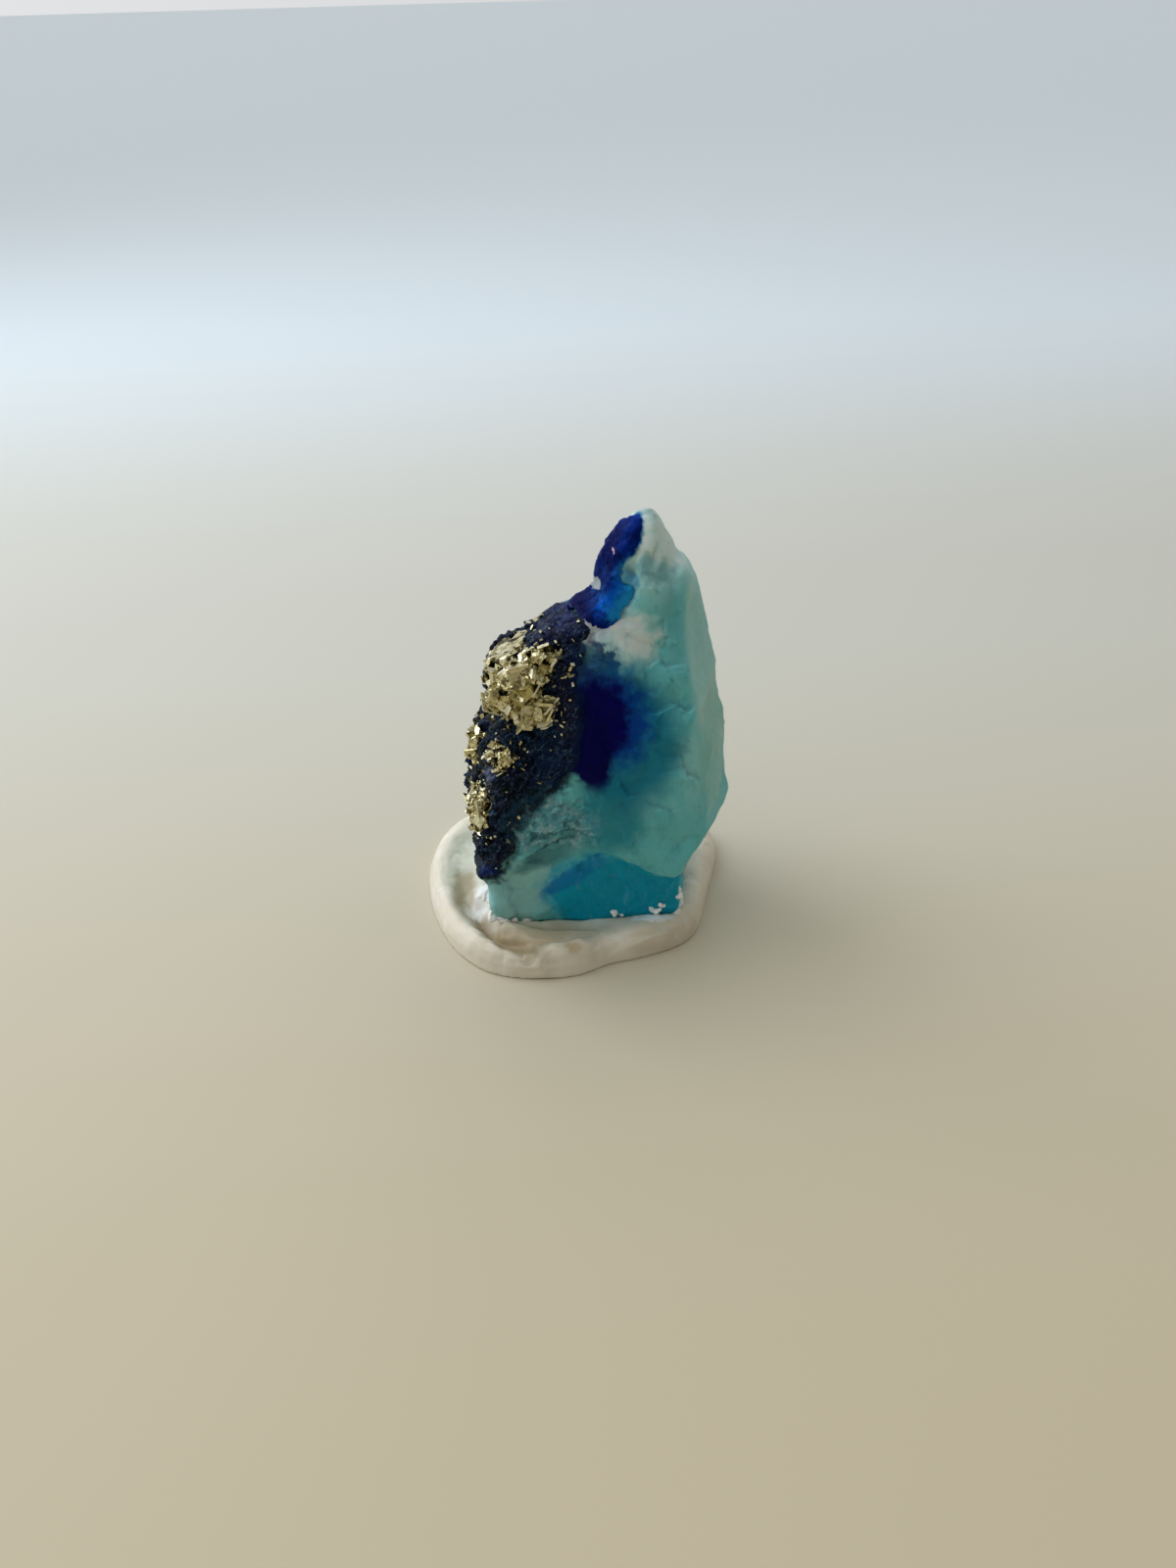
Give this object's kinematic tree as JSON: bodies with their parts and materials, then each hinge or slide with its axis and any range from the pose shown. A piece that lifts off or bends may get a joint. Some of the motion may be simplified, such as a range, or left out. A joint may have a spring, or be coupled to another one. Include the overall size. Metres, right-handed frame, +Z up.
{
  "type": "afghanite mineral specimen",
  "caption": "Upright blue-green calcite crystal with deep blue afghanite and dark pyrite-bearing matrix, stood in a hand-pressed putty ring.",
  "frame": {"origin": "middle of the specimen's box, on the surface the putty stands on", "axes": "+Z up the stone, +X to the right and +Y away from the viewer, with the broad face in front and the dark matrix on its left"},
  "size_m": [0.0298, 0.0282, 0.0405],
  "materials": {
    "calcite": "frosted translucent blue-green calcite with broken faces",
    "afghanite": "vitreous deep blue afghanite",
    "matrix": "rough grainy navy-black rock",
    "pyrite": "pale brassy pyrite crystals with metallic lustre",
    "putty": "smooth hand-pressed off-white putty"
  },
  "bodies": {
    "root": {"calcite_body": "calcite", "afghanite_crest": "afghanite", "dark_matrix": "matrix", "pyrite_upper_cluster": "pyrite", "pyrite_edge_band": "pyrite", "pyrite_middle_cluster": "pyrite", "pyrite_lower_cluster": "pyrite", "putty_base": "putty"}
  },
  "joints": []
}
